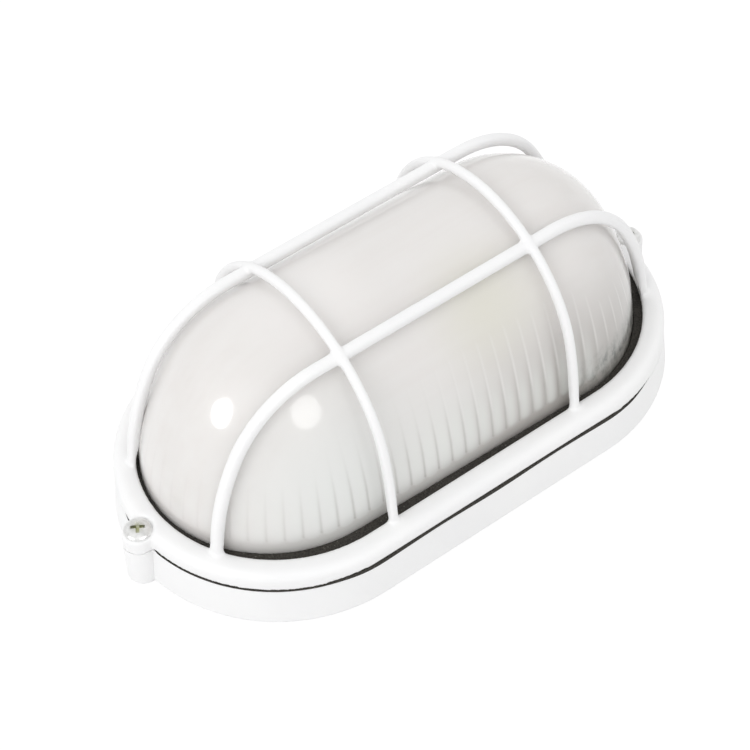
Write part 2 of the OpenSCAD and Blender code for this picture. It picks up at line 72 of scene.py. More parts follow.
addCamera(photoView)
print("camera set")


# Building blocks of the finishes.
def addNode(tree, kind, **values):
    node = tree.nodes.new("ShaderNode" + kind)
    for name, value in values.items():
        if name in node.inputs:
            node.inputs[name].default_value = value
        else:
            setattr(node, name, value)
    return node


def startLook(name, **sockets):
    look = bpy.data.materials.new(name)
    look.use_nodes = True
    tree = look.node_tree
    skin = tree.nodes["Principled BSDF"]
    for socket, value in sockets.items():
        skin.inputs[socket.replace("_", " ")].default_value = value
    place = addNode(tree, "TexCoord")
    return look, tree, skin, place.outputs["Object"]


# A number or a colour is set on the socket, anything else is linked to it.
def plug(tree, value, socket):
    if isinstance(value, (float, int)):
        socket.default_value = value
    elif isinstance(value, tuple):
        socket.default_value = (*value, 1)
    else:
        tree.links.new(value, socket)


def stretch(tree, source, scale):
    mapping = addNode(tree, "Mapping")
    mapping.inputs["Scale"].default_value = scale
    tree.links.new(source, mapping.inputs["Vector"])
    return mapping.outputs["Vector"]


def cloud(tree, source, scale, detail=3, rough=0.55):
    pattern = addNode(tree, "TexNoise", Scale=scale, Detail=detail, Roughness=rough)
    tree.links.new(source, pattern.inputs["Vector"])
    return pattern.outputs["Fac"]


def grey(value):
    return (value, value, value)


# One tone at start, another at end and an even run between them.
def ramp(tree, factor, low, high, start=0.3, end=0.7):
    node = addNode(tree, "ValToRGB")
    for element, place, tone in zip(node.color_ramp.elements, (start, end), (low, high)):
        element.position, element.color = place, (*tone, 1)
    tree.links.new(factor, node.inputs["Fac"])
    return node.outputs["Color"]


def mixTone(tree, factor, first, second):
    node = addNode(tree, "Mix", data_type="RGBA")
    for value, place in ((factor, 0), (first, 6), (second, 7)):
        plug(tree, value, node.inputs[place])
    return node.outputs[2]


def reckon(tree, operation, first, second):
    node = addNode(tree, "Math", operation=operation)
    plug(tree, first, node.inputs[0])
    plug(tree, second, node.inputs[1])
    return node.outputs[0]


def product(tree, first, second):
    return reckon(tree, "MULTIPLY", first, second)


def either(tree, first, second):
    return reckon(tree, "MAXIMUM", first, second)


# A value that runs from low to high as the source runs between two places.
def remap(tree, source, start, end, low=0.0, high=1.0):
    node = addNode(tree, "MapRange", interpolation_type="SMOOTHSTEP")
    for socket, value in zip(node.inputs[1:5], (start, end, low, high)):
        socket.default_value = value
    tree.links.new(source, node.inputs[0])
    return node.outputs[0]


# Soft patch round a point of the object, 1 in its middle and 0 at its radius.
def patch(tree, place, centre, radius):
    node = addNode(tree, "VectorMath", operation="DISTANCE")
    node.inputs[1].default_value = centre
    tree.links.new(place, node.inputs[0])
    return remap(tree, node.outputs["Value"], 0, radius, 1.0, 0.0)


def bump(tree, skin, height, strength, depth, before=None):
    node = addNode(tree, "Bump", Strength=strength, Distance=depth)
    tree.links.new(height, node.inputs["Height"])
    if before:
        tree.links.new(before, node.inputs["Normal"])
    tree.links.new(node.outputs["Normal"], skin.inputs["Normal"])
    return node.outputs["Normal"]


def mixShader(tree, factor, first, second):
    node = addNode(tree, "MixShader")
    for value, socket in zip((factor, first, second), node.inputs):
        tree.links.new(value, socket)
    return node.outputs[0]


# White powder coat on cast aluminium: fine grain over a slight orange peel.
coatLook = {
    "tones": ((0.83, 0.83, 0.835), (0.87, 0.87, 0.868)), "toneScale": 18,
    "rough": (0.36, 0.48), "roughScale": 60,
    "grainScale": 900, "grainDepth": 0.00012,
    "peelScale": 160, "peelDepth": 0.0004,
}


def whiteCoat():
    c = coatLook
    look, tree, skin, place = startLook("castWhite", Roughness=0.42, Specular_IOR_Level=0.45)
    tree.links.new(ramp(tree, cloud(tree, place, c["toneScale"], 4), *c["tones"]),
                   skin.inputs["Base Color"])
    tree.links.new(ramp(tree, cloud(tree, place, c["roughScale"]), *map(grey, c["rough"])),
                   skin.inputs["Roughness"])
    grain = bump(tree, skin, cloud(tree, place, c["grainScale"], 2), 0.25, c["grainDepth"])
    bump(tree, skin, cloud(tree, place, c["peelScale"], 3), 0.2, c["peelDepth"], grain)
    return look


# Pressed glass, frosted inside, with light, shade and reflections painted into its tones. Shares
# say how far each tone comes in; places in metres.
glassLook = {
    "marks": ("furrow", "glint", "rib", "plainFoot"),  # painted on the mesh by makeGlass()
    "tones": ((0.83, 0.8, 0.778), (0.866, 0.842, 0.822)),
    "streakTone": (0.89, 0.88, 0.865), "streakShare": 0.25,
    "patches": (  # middle, radius, share, tone
        ((-0.05, -0.04, 0.04), 0.05, 1.0, (0.875, 0.885, 0.865)),  # greener low on the near left
        ((0.016, -0.028, 0.068), 0.03, 0.75, (0.78, 0.765, 0.67)),  # painted tint of the brass holder seen through the glass
        ((-0.034, 0.004, 0.08), 0.03, 1.0, (0.95, 0.92, 0.9)),  # light on the left crown
        ((-0.008, -0.044, 0.034), 0.03, 0.6, (0.87, 0.885, 0.86)),  # greener low in the middle
    ),
    "feet": (  # span in x, span in z, share, tone
        ((-0.02, 0.045), (0.07, 0.026), 0.88, (0.42, 0.396, 0.372)),  # painted shade, darker and browner towards the right
        ((0.034, 0.056), (0.038, 0.027), 0.45, (0.33, 0.34, 0.32)),  # painted shade, darker still on the foot of the right end
    ),
    "speckShare": 0.9, "speckTone": (0.16, 0.17, 0.155),
    "furrowReach": (-0.095, -0.04, 0.15, 1.0), "furrowShadeTone": (0.46, 0.45, 0.42),
    "furrowShadeShare": 0.64, "plainShare": 0.35, "plainTone": (0.6, 0.57, 0.53),
    "ribReach": (-0.06, 0.01, 0.15, 0.55), "ribStops": (0.042, 0.056, 1, 0),
    "ribLightTone": (0.86, 0.885, 0.85),
    "glintReach": (-0.03, 0.02, 0.0, 0.6), "glintTone": (0.95, 0.94, 0.92), "glintLift": 0.4,
    "relief": 0.0006,
}


def ribbedGlass():
    g = glassLook
    look, tree, skin, place = startLook(
        "ribbedGlass", Roughness=0.42, IOR=1.45, Transmission_Weight=0.18, Subsurface_Weight=0.4,
        Subsurface_Radius=(1, 1, 1), Subsurface_Scale=0.004,
        Coat_Weight=1.0, Coat_Roughness=0.085, Coat_IOR=1.5)
    furrow, glint, rib, plain = (addNode(tree, "Attribute", attribute_name=mark).outputs["Fac"]
                                 for mark in g["marks"])
    axes = addNode(tree, "SeparateXYZ")
    tree.links.new(place, axes.inputs[0])
    x, z = axes.outputs[0], axes.outputs[2]
    tone = ramp(tree, cloud(tree, stretch(tree, place, (6, 26, 26)), 2.2, 4), *g["tones"])
    streak = ramp(tree, cloud(tree, stretch(tree, place, (5, 260, 120)), 1, 3), grey(0), grey(1),
                  0.35, 0.62)
    tone = mixTone(tree, product(tree, streak, g["streakShare"]), tone, g["streakTone"])
    for centre, radius, share, cast in g["patches"]:
        spot = product(tree, patch(tree, place, centre, radius), share)
        tone = mixTone(tree, spot, tone, cast)
    # Painted shade low on the right part of the glass, darkest at the foot of the right end.
    for spanX, spanZ, share, cast in g["feet"]:
        foot = product(tree, remap(tree, x, *spanX), remap(tree, z, *spanZ))
        tone = mixTone(tree, product(tree, foot, share), tone, cast)
    # The foot of the right end mirrors seal and flutes as dark specks.
    specks = ramp(tree, cloud(tree, stretch(tree, place, (1, 1, 0.5)), 420, 4, 0.7),
                  grey(0), grey(1), 0.44, 0.6)
    tone = mixTone(tree, product(tree, specks, product(tree, foot, g["speckShare"])), tone,
                   g["speckTone"])
    # Painted shade darkens the furrows between the flutes; it fades out over the brightly lit left
    # end.
    reach = remap(tree, x, *g["furrowReach"])
    dark = product(tree, reach, furrow)
    # Painted light on the body of each flute, over the middle and right of the glass.
    body = product(tree, remap(tree, x, *g["ribReach"]), remap(tree, x, *g["ribStops"]))
    tone = mixTone(tree, product(tree, rib, body), tone, g["ribLightTone"])
    tone = mixTone(tree, product(tree, plain, product(tree, reach, g["plainShare"])), tone,
                   g["plainTone"])
    tone = mixTone(tree, product(tree, dark, g["furrowShadeShare"]), tone, g["furrowShadeTone"])
    shine = product(tree, glint, remap(tree, x, *g["glintReach"]))
    tone = mixTone(tree, shine, tone, g["glintTone"])
    tree.links.new(tone, skin.inputs["Base Color"])
    height = reckon(tree, "SUBTRACT", product(tree, shine, g["glintLift"]), dark)
    bump(tree, skin, height, 0.3, g["relief"])
    return look


foamLook = {
    "cells": 1500, "tones": ((0.02, 0.019, 0.017), (0.048, 0.044, 0.038)),
    "dust": (0.17, 0.165, 0.15), "dustShare": 0.6, "dustFrom": (0.67, 0.74),
}


def foamRubber():
    f = foamLook
    look, tree, skin, place = startLook("foamRubber", Roughness=0.9, Specular_IOR_Level=0.25)
    cells = addNode(tree, "TexVoronoi", Scale=f["cells"])
    tree.links.new(place, cells.inputs["Vector"])
    dust = ramp(tree, cloud(tree, place, f["cells"], 1), grey(0), grey(f["dustShare"]),
                *f["dustFrom"])
    base = ramp(tree, cells.outputs["Distance"], *f["tones"], 0.1, 0.6)
    tree.links.new(mixTone(tree, dust, base, f["dust"]), skin.inputs["Base Color"])
    bump(tree, skin, cells.outputs["Distance"], 0.6, 0.0003)
    return look


def metal(name, low, high, rough, scale=(1, 1, 1), grain=260):
    look, tree, skin, place = startLook(name, Metallic=1.0, Roughness=rough)
    pattern = cloud(tree, stretch(tree, place, scale), grain, 4)
    tree.links.new(ramp(tree, pattern, low, high), skin.inputs["Base Color"])
    tree.links.new(ramp(tree, pattern, grey(rough - 0.08), grey(rough + 0.1)),
                   skin.inputs["Roughness"])
    bump(tree, skin, pattern, 0.2, 0.0001)
    return look


# Bright zinc that keeps a yellow-green passivation down in the cross recess.
zincLook = {
    "tones": ((0.66, 0.66, 0.65), (0.92, 0.92, 0.91)), "rough": (0.24, 0.4), "grain": 420,
    "recessTone": (0.42, 0.43, 0.24), "recessZ": 0.0215, "recessR": 0.0034,
}


def screwZinc():
    s = zincLook
    look, tree, skin, place = startLook("screwZinc", Metallic=1.0, Roughness=0.3)
    pattern = cloud(tree, place, s["grain"], 4)
    bothEnds = addNode(tree, "VectorMath", operation="ABSOLUTE")
    tree.links.new(place, bothEnds.inputs[0])
    deep = patch(tree, bothEnds.outputs[0], (plan["screwX"] / 1000, 0, s["recessZ"]), s["recessR"])
    tree.links.new(mixTone(tree, deep, ramp(tree, pattern, *s["tones"]), s["recessTone"]),
                   skin.inputs["Base Color"])
    tree.links.new(ramp(tree, pattern, *map(grey, s["rough"])), skin.inputs["Roughness"])
    bump(tree, skin, pattern, 0.3, 0.0001)
    return look


def glazed(name, low, high, rough, coat):
    look, tree, skin, place = startLook(name, Roughness=rough, Coat_Weight=coat,
                                        Coat_Roughness=0.08)
    tree.links.new(ramp(tree, cloud(tree, place, 90, 5), low, high), skin.inputs["Base Color"])
    bump(tree, skin, cloud(tree, place, 500, 2), 0.15, 0.0002)
    return look


def softRubber():
    look, tree, skin, place = startLook("grommetRubber", Roughness=0.6)
    tree.links.new(ramp(tree, cloud(tree, place, 300, 4), grey(0.018), grey(0.035), 0.3, 0.75),
                   skin.inputs["Base Color"])
    bump(tree, skin, cloud(tree, place, 1200, 2), 0.3, 0.0001)
    return look


sleeveLook = {"tones": ((0.55, 0.52, 0.44), (0.78, 0.75, 0.68)), "braid": 900, "depth": 0.0002}


def wovenSleeve():
    s = sleeveLook
    look, tree, skin, place = startLook("wovenSleeve", Roughness=0.85, Sheen_Weight=0.3)
    weave = addNode(tree, "TexWave", Scale=s["braid"], Distortion=2)
    weave.bands_direction = "DIAGONAL"
    tree.links.new(place, weave.inputs["Vector"])
    tree.links.new(ramp(tree, weave.outputs["Fac"], *s["tones"], 0.2, 0.8),
                   skin.inputs["Base Color"])
    bump(tree, skin, weave.outputs["Fac"], 0.5, s["depth"])
    return look


looks = {
    "castWhite": whiteCoat(),
    "ribbedGlass": ribbedGlass(),
    "foamRubber": foamRubber(),
    "screwZinc": screwZinc(),
    "zinc": metal("zincPlated", (0.62, 0.62, 0.6), (0.8, 0.8, 0.77), 0.28),
    "steel": metal("galvanised", (0.5, 0.51, 0.52), (0.68, 0.69, 0.7), 0.4, (1, 1, 4), 60),
    "brass": metal("brass", (0.62, 0.45, 0.18), (0.8, 0.6, 0.28), 0.3),
    "porcelain": glazed("porcelain", (0.78, 0.76, 0.7), (0.84, 0.82, 0.77), 0.35, 0.8),
    "steatite": glazed("steatite", (0.7, 0.67, 0.6), (0.8, 0.77, 0.7), 0.6, 0.1),
    "rubber": softRubber(),
    "sleeve": wovenSleeve(),
}
print("finishes made")


# Helpers for shapes.
def toObject(name, bm):
    data = bpy.data.meshes.new(name)
    bm.to_mesh(data)
    bm.free()
    piece = bpy.data.objects.new(name, data)
    bpy.context.scene.collection.objects.link(piece)
    return piece


# The piece's mesh with its modifiers applied, as a new bmesh; the piece goes.
def settle(piece):
    done = bpy.data.meshes.new_from_object(
        piece.evaluated_get(bpy.context.evaluated_depsgraph_get()))
    bm = bmesh.new()
    bm.from_mesh(done)
    bpy.data.objects.remove(piece)
    bpy.data.meshes.remove(done)
    return bm


# One solid from shells that enter each other, its inner corners eased like a casting's.
def fuse(bm, voxel, rounds):
    work = toObject("work", bm)
    grid = work.modifiers.new("grid", "REMESH")
    grid.mode, grid.voxel_size = "VOXEL", voxel
    ease = work.modifiers.new("ease", "SMOOTH")
    ease.factor, ease.iterations = 0.5, rounds
    return settle(work)


# Cuts one closed shape out of another.
def carve(bm, tool):
    work, knife = toObject("work", bm), toObject("knife", tool)
    step = work.modifiers.new("step", "BOOLEAN")
    step.operation, step.object, step.solver = "DIFFERENCE", knife, "EXACT"
    done = settle(work)
    bpy.data.objects.remove(knife)
    return done


def join(bm, part):
    data = bpy.data.meshes.new("part")
    part.to_mesh(data)
    part.free()
    bm.from_mesh(data)
    bpy.data.meshes.remove(data)


# Makes the finished piece, which rides its body in place of one node of the frame.
def keep(name, bm, look, body, node, sharp=40):
    bmesh.ops.transform(bm, matrix=Matrix.Scale(0.001, 4), verts=bm.verts)
    piece = toObject(name, bm)
    piece.data.materials.append(looks[look])
    piece.data.shade_smooth()
    piece.data.set_sharp_from_angle(angle=radians(sharp))
    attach(piece, body)
    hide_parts(node)
    triangles = sum(len(p.vertices) - 2 for p in piece.data.polygons)
    print(" ", name, triangles, "triangles")
    return piece


# A section in radius and height, run along both sides of the oval and round both ends.
def sweepOval(section, closed, sideSteps, endSteps):
    bm = bmesh.new()
    a = plan["halfA"]
    row = [bm.verts.new((-a, -r, z)) for r, z in section]
    pairs = list(zip(row, row[1:])) + ([(row[-1], row[0])] if closed else [])
    line = row + [bm.edges.new(pair) for pair in pairs]
    for side in (1, -1):
        line = bmesh.ops.spin(bm, geom=line, cent=(0, 0, 0), axis=(0, 0, 1), angle=0,
                              dvec=(side * 2 * a / sideSteps, 0, 0), steps=sideSteps)["geom_last"]
        line = bmesh.ops.spin(bm, geom=line, cent=(side * a, 0, 0), axis=(0, 0, 1),
                              angle=pi, steps=endSteps)["geom_last"]
    tidyUp(bm)
    return bm


def tidyUp(bm):
    bmesh.ops.remove_doubles(bm, verts=bm.verts, dist=0.004)
    bmesh.ops.dissolve_degenerate(bm, edges=bm.edges, dist=0.003)
    bmesh.ops.recalc_face_normals(bm, faces=bm.faces)


# A turned solid round the Z axis from its outline in radius and height.
def turned(outline, steps=48):
    bm = bmesh.new()
    row = [bm.verts.new((r, 0, z)) for r, z in outline]
    line = row + [bm.edges.new(pair) for pair in zip(row, row[1:] + row[:1])]
    bmesh.ops.spin(bm, geom=line, cent=(0, 0, 0), axis=(0, 0, 1), angle=2 * pi, steps=steps,
                   use_merge=True)
    tidyUp(bm)
    return bm


# 0 below low, 1 above high and an even curve between them.
def smooth(value, low, high):
    t = min(max((value - low) / (high - low), 0), 1)
    return t * t * (3 - 2 * t)


# Points of an arc, angles in degrees.
def arc(r, z, radius, start, end, count):
    turns = [radians(start + (end - start) * i / count) for i in range(count + 1)]
    return [(r + radius * cos(t), z + radius * sin(t)) for t in turns]


def move(bm, x=0, y=0, z=0):
    bmesh.ops.translate(bm, verts=bm.verts, vec=(x, y, z))


# The way straight out from the middle line of the oval to a point, seen from above.
def outward(co):
    return Vector((copysign(max(abs(co.x) - plan["halfA"], 0), co.x), co.y))


def fromScrew(co):
    return hypot(abs(co.x) - plan["screwX"], co.y)


# Radius of a crown that runs on evenly from sides of another radius.
def crownRadius(width, height, side):
    return (side ** 2 - (side - width) ** 2 - height ** 2) / (2 * (side - height))


# The guard: rim, lugs and four bars in one casting.
guardSet = {
    "top": 87, "crossWide": 3.2, "crossThick": 3.3, "longWide": 4.1, "longThick": 4.1,
    "barSquare": 0.72,  # 1 makes the bars round, less makes them squarer
    "crossX": 36.9, "longY": 23,
    "crossSide": 145, "longSide": 85, "longBend": 35, "longDrop": 1.2,
    "crossSteps": (18, 44), "longSteps": (14, 22, 24),
    "crossFoot": 0.65, "longFoot": 0.35,
    "footFlare": 0.16, "footRise": 4.5, "footIn": 2.6, "footFade": 11,
    "knot": 2.5, "knotFlat": 0.6,  # where the bars cross
    "rimRound": 3.6, "rimWall": 17.4, "rimCrown": 49, "innerRound": 0.9, "rimSteps": (30, 48),
    "lugR": 5.45, "lugEdge": 0.3, "seatR": 5, "boreR": 2.55,
    "gapMid": 1.1, "gapLeft": 0.66, "gapThins": (56, 68),
    "gapShut": 0.03, "gapCloses": (30, 79), "farCloses": (2, 19), "farAt": (62, 80),
    "lugBears": (5.9, 7),
    "voxel": 0.56, "easing": 6,
}
crossW = plan["windowR"] + guardSet["crossFoot"]
crossH = guardSet["top"] - guardSet["crossThick"] / 2 - plan["arcZ"]
crossR = crownRadius(crossW, crossH, guardSet["crossSide"])
longW = plan["halfA"] + sqrt(plan["windowR"] ** 2 - guardSet["longY"] ** 2) + guardSet["longFoot"]
longH = crossH - crossR + sqrt(crossR ** 2 - guardSet["longY"] ** 2) - guardSet["longDrop"]


# The height of the gap between base and rim: the rim closes on the base towards the right
# screw and past the left one, and bears on it at both lugs.
def gapAt(co):
    g = guardSet
    farLeft = smooth(co.y, *g["farCloses"]) * smooth(-co.x, *g["farAt"])
    bears = 1 - smooth(fromScrew(co), *g["lugBears"])
    closed = max(smooth(co.x, *g["gapCloses"]), farLeft, bears)
    full = g["gapMid"] + (g["gapLeft"] - g["gapMid"]) * smooth(-co.x, *g["gapThins"])
    return full + (g["gapShut"] - full) * closed


# A bar of rounded section that starts at its first foot and follows legs of (centre, axis,
# angle, steps, shift). Its feet spread a little and end flush with the edge of the window.
def bar(feet, sizeX, sizeY, legs):
    g, rimTop = guardSet, plan["rimTop"]
    bm = bmesh.new()
    ring = bmesh.ops.create_circle(bm, cap_ends=False, radius=1, segments=20)["verts"]
    for v in ring:
        a = atan2(v.co.y, v.co.x)
        v.co.x = feet[0].x + sizeX / 2 * copysign(abs(cos(a)) ** g["barSquare"], cos(a))
        v.co.y = feet[0].y + sizeY / 2 * copysign(abs(sin(a)) ** g["barSquare"], sin(a))
        v.co.z = plan["arcZ"]
    line = ring + list(bm.edges)
    for centre, axis, angle, steps, shift in legs:
        line = bmesh.ops.spin(bm, geom=line, cent=centre, axis=axis, angle=angle,
                              dvec=shift, steps=steps)["geom_last"]
    for v in bm.verts:
        low = min(max(0, 1 - (v.co.z - rimTop + 0.4) / g["footRise"]), 1)
        foot = min(feet, key=lambda spot: (spot - v.co.xy).length)
        v.co.xy = foot + (v.co.xy - foot) * (1 + g["footFlare"] * low ** 2)
        way = outward(v.co)
        free = plan["windowR"] - g["footIn"] * smooth(v.co.z, rimTop, rimTop + g["footFade"])
        if way.length < free and v.co.z < rimTop + g["footFade"]:
            v.co.xy += way.normalized() * (free - way.length)
    bmesh.ops.bisect_plane(bm, geom=list(bm.verts) + list(bm.edges) + list(bm.faces),
                           plane_co=(0, 0, plan["lipZ"] + 0.05), plane_no=(0, 0, 1),
                           clear_inner=True)
    bmesh.ops.holes_fill(bm, edges=bm.edges, sides=0)
    tidyUp(bm)
    return bm


def crossBar(x):
    g, z0, still = guardSet, plan["arcZ"], (0, 0, 0)
    off, rise = g["crossSide"] - crossW, crossH - crossR
    turn, (sides, crown) = atan2(rise, off), g["crossSteps"]
    feet = [Vector((x, -crossW)), Vector((x, crossW))]
    return bar(feet, g["crossWide"], g["crossThick"], [
        ((x, off, z0), (1, 0, 0), -turn, sides, still),
        ((x, 0, z0 + rise), (1, 0, 0), 2 * turn - pi, crown, still),
        ((x, -off, z0), (1, 0, 0), -turn, sides, still)])


def longBar(y):
    g, z0, still = guardSet, plan["arcZ"], (0, 0, 0)
    sideX, rise = longW - g["longSide"], longH - g["longBend"]
    bendX = sideX + sqrt((g["longSide"] - g["longBend"]) ** 2 - rise ** 2)
    turn, (sides, bends, middle) = atan2(rise, bendX - sideX), g["longSteps"]
    feet = [Vector((-longW, y)), Vector((longW, y))]
    return bar(feet, g["longThick"], g["longWide"], [
        ((-sideX, y, z0), (0, 1, 0), turn, sides, still),
        ((-bendX, y, z0 + rise), (0, 1, 0), pi / 2 - turn, bends, still),
        ((0, 0, 0), (0, 1, 0), 0, middle, (2 * bendX / middle, 0, 0)),
        ((bendX, y, z0 + rise), (0, 1, 0), pi / 2 - turn, bends, still),
        ((sideX, y, z0), (0, 1, 0), turn, sides, still)])


def guardRim():
    g, p, lip = guardSet, plan, guardSet["innerRound"]
    edgeR, edgeZ = p["rimR"] - g["rimRound"], p["rimTop"] - g["rimRound"]
    section = [(p["rimR"], p["baseH"]), (p["rimR"], g["rimWall"])]
    section += arc(edgeR, edgeZ, g["rimRound"], 0, 90, 8) + [(g["rimCrown"], p["rimTop"])]
    section += arc(p["windowR"] + lip, p["rimTop"] - lip, lip, 90, 180, 4)
    section += [(p["windowR"], p["lipZ"]), (g["rimCrown"], p["lipZ"]), (p["pocketR"], p["lipZ"]),
                (p["pocketR"], p["baseH"])]
    bm = sweepOval(section, True, *g["rimSteps"])
    for s in (-1, 1):
        knife = turned([(0, p["baseH"] - 2), (g["boreR"], p["baseH"] - 2),
                        (g["boreR"], p["lugTop"]), (g["seatR"], p["lugTop"]), (g["seatR"], 30),
                        (0, 30)])
        move(knife, s * p["screwX"])
        bm = carve(bm, knife)
    for s in (-1, 1):
        lug = turned([(g["boreR"], p["baseH"]), (g["lugR"], p["baseH"]),
                      (g["lugR"], p["lugTop"] - g["lugEdge"]),
                      (g["lugR"] - g["lugEdge"], p["lugTop"]), (g["boreR"], p["lugTop"])])
        move(lug, s * p["screwX"])
        join(bm, lug)
    for v in bm.verts:
        if v.co.z < p["baseH"] + 0.01:
            v.co.z = p["baseH"] + gapAt(v.co)
    return bm


def makeGuard():
    g = guardSet
    bm = guardRim()
    for s in (-1, 1):
        join(bm, crossBar(s * g["crossX"]))
        join(bm, longBar(s * g["longY"]))
        for t in (-1, 1):
            knot = bmesh.new()
            bmesh.ops.create_icosphere(knot, subdivisions=3, radius=g["knot"])
            bmesh.ops.scale(knot, vec=(1, 1, g["knotFlat"]), verts=knot.verts)
            move(knot, s * g["crossX"], t * g["longY"], plan["arcZ"] + longH)
            join(bm, knot)
    cast = fuse(bm, g["voxel"], g["easing"])
    keep("guardCast", cast, "castWhite", "cover", "guard")


makeGuard()
print("guard made")

# The glass dome with its flange, smooth outside and fluted inside.
glassSet = {
    "w": 43.2, "h": 61.8, "side": 94, "thick": 3,
    "flangeZ": 14.7, "flangeTop": 19.0, "flangeR": 48.2,
    "sideFlutes": 17, "endFlutes": 24, "perFlute": 8,
    "fineFrom": 7, "depth": 1.0, "lobe": 2.6, "footZ": 24.6, "footRise": 2.2, "scallop": 2.2,
    "topZ": 62, "endDrop": 11, "endFrom": (-2, 14),
    "furrowPower": (7, 3), "furrowFoot": (0.9, 2), "furrowFades": (36, 52), "furrowFade": 0.7,
    "glintAt": 0.125, "glintFoot": (6, 18), "glintFade": 0.4,
    "ribAt": 0.4, "ribThin": 2.3, "ribFoot": 2.5, "ribFades": (34, 52),
    "turn": -1.2, "shift": -0.4,  # askew in the rim, in degrees and millimetres
    "leftOut": 1.4, "leftOver": 0.7,  # how far the foot of the left end stands out
    "leftFrom": (30, 85), "leftFoot": (12, 15), "leftTop": (24, 66), "leftKeeps": 45.7,
}


# Glass and seal sit a little askew in the rim, and the foot of the left end stands out further.
def turnGlass(bm):
    g = glassSet
    for v in bm.verts:
        if outward(v.co).length < g["leftKeeps"]:
            pull = smooth(-v.co.x, *g["leftFrom"]) * smooth(v.co.z, *g["leftFoot"])
            pull *= 1 - smooth(v.co.z, *g["leftTop"])
            v.co.x -= g["leftOut"] * pull
            v.co.y += g["leftOver"] * pull
    move(bm, g["shift"])
    bmesh.ops.rotate(bm, verts=bm.verts, cent=(0, 0, 0),
                     matrix=Matrix.Rotation(radians(g["turn"]), 3, "Z"))


# Half section of the dome set in by inset, from the apex down to the foot at arcZ.
def domeLine(inset, crownSteps, sideSteps, fineSteps):
    w, h, side = (glassSet[k] - inset for k in ("w", "h", "side"))
    crown = crownRadius(w, h, side)
    turn = degrees(atan2(h - crown, side - w))
    line = arc(0, plan["arcZ"] + h - crown, crown, 90, turn, crownSteps)
    line += arc(w - side, plan["arcZ"], side, turn, glassSet["fineFrom"], sideSteps)[1:]
    return line + arc(w - side, plan["arcZ"], side, glassSet["fineFrom"], 0, fineSteps)[1:]


# Where a point lies across its flute, from 0 to 1.
def flutePlace(co):
    a = plan["halfA"]
    if abs(co.x) < a:
        return (co.x / (2 * a / glassSet["sideFlutes"]) + 0.5) % 1
    return atan2(abs(co.x) - a, abs(co.y)) / (pi / glassSet["endFlutes"]) % 1


# What the finish reads of a flute: painted shade in the furrows beside it, a painted glint on its
# edge, painted light on its body, and the plain glass below its tip, which is painted darker.
def markFlute(v, marks, u, tip, high):
    g, a, z = glassSet, plan["halfA"], v.co.z
    furrow, glint, rib, plain = marks
    thin, wide = g["furrowPower"]
    power = thin + (wide - thin) * smooth(v.co.x, a, a + 10)
    v[furrow] = abs(2 * u - 1) ** power * high \
        * (1 - g["furrowFade"] * smooth(z, *g["furrowFades"])) \
        * smooth(z, *(g["footZ"] + rise for rise in g["furrowFoot"]))
    v[glint] = max(0, 1 - abs(u - g["glintAt"]) / g["glintAt"]) * high ** g["glintFade"] \
        * smooth(z, *(tip + rise for rise in g["glintFoot"]))
    v[rib] = max(0, 1 - (g["ribThin"] * (u - g["ribAt"])) ** 2) \
        * smooth(z, tip, tip + g["ribFoot"]) * (1 - smooth(z, *g["ribFades"]))
    v[plain] = 1 - smooth(z, tip - 0.5, tip + 0.5)


def makeGlass():
    g, a, arcZ = glassSet, plan["halfA"], plan["arcZ"]
    section = domeLine(0, 22, 16, 18)
    section += [(g["w"] + 0.1, g["flangeTop"] + 0.1), (g["w"] + 0.5, g["flangeTop"]),
                (g["flangeR"] - 0.6, g["flangeTop"]), (g["flangeR"], g["flangeTop"] - 0.6),
                (g["flangeR"], g["flangeZ"] + 0.6), (g["flangeR"] - 0.6, g["flangeZ"]),
                (g["w"] - g["thick"] + 0.4, g["flangeZ"]),
                (g["w"] - g["thick"], g["flangeZ"] + 0.4)]
    section += reversed(domeLine(g["thick"], 14, 20, 8))
    bm = sweepOval(section, False, g["sideFlutes"] * g["perFlute"], g["endFlutes"] * g["perFlute"])
    marks = [bm.verts.layers.float.new(mark) for mark in glassLook["marks"]]
    crown = crownRadius(g["w"], g["h"], g["side"])
    for v in bm.verts:
        way, z = outward(v.co), v.co.z
        if z < arcZ - 0.01 or way.length < 1:
            continue
        u = flutePlace(v.co)
        top = g["topZ"] - g["endDrop"] * smooth(abs(v.co.x), *(a + step for step in g["endFrom"]))
        high = min(max((top - z) / (top - g["footZ"]), 0), 1)
        markFlute(v, marks, u, g["footZ"] + g["scallop"] * abs(2 * u - 1) ** 3, high)
        fromSide = hypot(way.length - (g["w"] - g["side"]), z - arcZ) - g["side"]
        fromCrown = hypot(way.length, z - arcZ - g["h"] + crown) - crown
        if min(fromSide, fromCrown) < -0.5 * g["thick"]:
            lobe = high * smooth(z, g["footZ"], g["footZ"] + g["footRise"])
            lobe *= 1 - abs(2 * u - 1) ** g["lobe"]
            v.co.xy -= way.normalized() * g["depth"] * lobe
    turnGlass(bm)
    keep("glassDome", bm, "ribbedGlass", "cover", "glass", 60)


makeGlass()
print("glass made")

# The foam seal, one strip folded round the flange of the glass.
sealSet = {
    "inner": 43.35, "outer": 49.35, "low": 12.9, "top": 20.8, "flat": 2, "wall": (18, 15.6),
    "grooveR": 48.25, "grooveLow": 14.7, "grooveTop": 19.0,
    "soft": 0.5, "wave": 0.1176, "waveScale": 0.45, "seed": 7,
}


